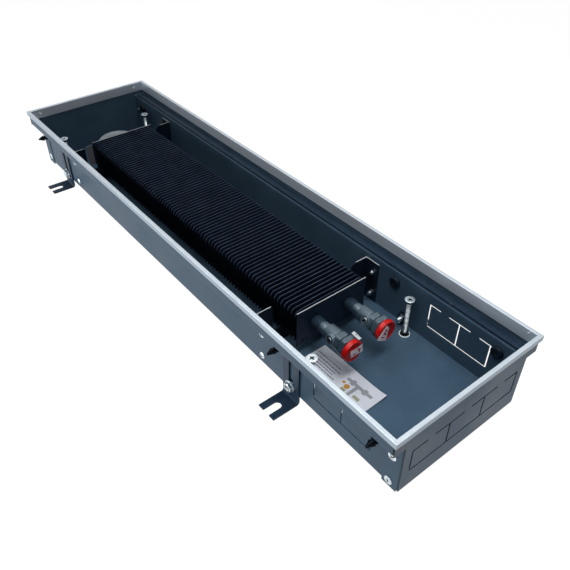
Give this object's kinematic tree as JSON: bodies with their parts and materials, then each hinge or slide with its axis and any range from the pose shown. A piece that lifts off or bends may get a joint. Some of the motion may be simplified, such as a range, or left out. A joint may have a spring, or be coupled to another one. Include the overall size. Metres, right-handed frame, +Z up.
{
  "type": "trench convector heater",
  "caption": "Floor trench heater: long folded trough with an aluminium rim, finned water heat exchanger, capped pipe fittings with air vents, foot brackets and levelling bolts; no grille.",
  "frame": {"origin": "on the ground, under the middle of the rim", "axes": "+X along the trough towards the pipe connections, +Y across it towards the supply side, +Z up"},
  "size_m": [1.005, 0.3, 0.122],
  "materials": {
    "casing_paint": "dark slate powder coat, fine satin texture",
    "rim_metal": "natural anodised aluminium with fine lines along each side",
    "strip_rubber": "dark extruded rubber strip",
    "fin_coating": "thin aluminium sheet, black coating, bare cut edges",
    "tube_metal": "copper tube under black coating",
    "bend_metal": "copper bend under grey coating",
    "black_paint": "black powder coat",
    "bracket_paint": "blue-black satin powder coat",
    "zinc": "bright zinc plate",
    "nut_metal": "dark zinc plate",
    "plug_plastic": "black moulded plastic",
    "fitting_metal": "grey painted metal, satin",
    "bleed_metal": "grey painted metal, worn",
    "cap_plastic": "red moulded plastic, semi-gloss",
    "label_paper": "printed paper sheet under clear film"
  },
  "bodies": {
    "heater": {"casing": "casing_paint", "end_plate_valve": "casing_paint", "end_plate_far": "casing_paint", "rim_front": "rim_metal", "rim_back": "rim_metal", "rim_valve_end": "rim_metal", "rim_far_end": "rim_metal", "rest_strip_front": "strip_rubber", "rest_strip_back": "strip_rubber", "fins": "fin_coating", "water_tubes": "tube_metal", "return_bend": "bend_metal", "hx_plate_valve": "black_paint", "hx_plate_far": "black_paint", "holder_valve_front": "bracket_paint", "holder_valve_back": "bracket_paint", "holder_far_front": "bracket_paint", "holder_far_back": "bracket_paint", "holder_screws": "zinc", "holder_nuts": "zinc", "wall_plugs": "plug_plastic", "sleeve_supply": "black_paint", "sleeve_return": "black_paint", "fitting_supply": "fitting_metal", "fitting_return": "fitting_metal", "level_inserts": "zinc", "foot_bolts": "zinc", "foot_washers": "zinc", "foot_nuts": "nut_metal", "end_screws": "zinc", "floor_label": "label_paper"},
    "bleed_screw_supply_body": {"bleed_screw_supply": "bleed_metal"},
    "bleed_screw_return_body": {"bleed_screw_return": "bleed_metal"},
    "cap_supply_body": {"cap_supply": "cap_plastic"},
    "cap_return_body": {"cap_return": "cap_plastic"},
    "level_bolt_valve_front_body": {"level_bolt_valve_front": "zinc"},
    "level_bolt_valve_back_body": {"level_bolt_valve_back": "zinc"},
    "level_bolt_far_front_body": {"level_bolt_far_front": "zinc"},
    "level_bolt_far_back_body": {"level_bolt_far_back": "zinc"},
    "foot_valve_front_body": {"foot_valve_front": "bracket_paint"},
    "foot_valve_back_body": {"foot_valve_back": "bracket_paint"},
    "foot_far_front_body": {"foot_far_front": "bracket_paint"},
    "foot_far_back_body": {"foot_far_back": "bracket_paint"}
  },
  "joints": [
    {"name": "bleed_screw_supply_turn", "type": "hinge", "parent": "heater", "child": "bleed_screw_supply_body", "pos_m": [0.3095, 0.0315, 0.0635], "axis": [0, -0.9205, 0.3907], "range_deg": [0, 360]},
    {"name": "bleed_screw_return_turn", "type": "hinge", "parent": "heater", "child": "bleed_screw_return_body", "pos_m": [0.307, -0.0295, 0.0635], "axis": [0, -0.9659, 0.2588], "range_deg": [0, 360]},
    {"name": "cap_supply_pull", "type": "slide", "parent": "heater", "child": "cap_supply_body", "axis": [1, 0, 0], "range_m": [0, 0.03]},
    {"name": "cap_return_pull", "type": "slide", "parent": "heater", "child": "cap_return_body", "axis": [1, 0, 0], "range_m": [0, 0.03]},
    {"name": "level_bolt_valve_front_height", "type": "slide", "parent": "heater", "child": "level_bolt_valve_front_body", "axis": [0, 0, 1], "range_m": [-0.05, 0.012]},
    {"name": "level_bolt_valve_back_height", "type": "slide", "parent": "heater", "child": "level_bolt_valve_back_body", "axis": [0, 0, 1], "range_m": [-0.05, 0.012]},
    {"name": "level_bolt_far_front_height", "type": "slide", "parent": "heater", "child": "level_bolt_far_front_body", "axis": [0, 0, 1], "range_m": [-0.05, 0.012]},
    {"name": "level_bolt_far_back_height", "type": "slide", "parent": "heater", "child": "level_bolt_far_back_body", "axis": [0, 0, 1], "range_m": [-0.05, 0.012]},
    {"name": "foot_valve_front_height", "type": "slide", "parent": "heater", "child": "foot_valve_front_body", "axis": [0, 0, 1], "range_m": [-0.045, 0.001]},
    {"name": "foot_valve_back_height", "type": "slide", "parent": "heater", "child": "foot_valve_back_body", "axis": [0, 0, 1], "range_m": [-0.045, 0.001]},
    {"name": "foot_far_front_height", "type": "slide", "parent": "heater", "child": "foot_far_front_body", "axis": [0, 0, 1], "range_m": [-0.045, 0.001]},
    {"name": "foot_far_back_height", "type": "slide", "parent": "heater", "child": "foot_far_back_body", "axis": [0, 0, 1], "range_m": [-0.045, 0.001]}
  ]
}
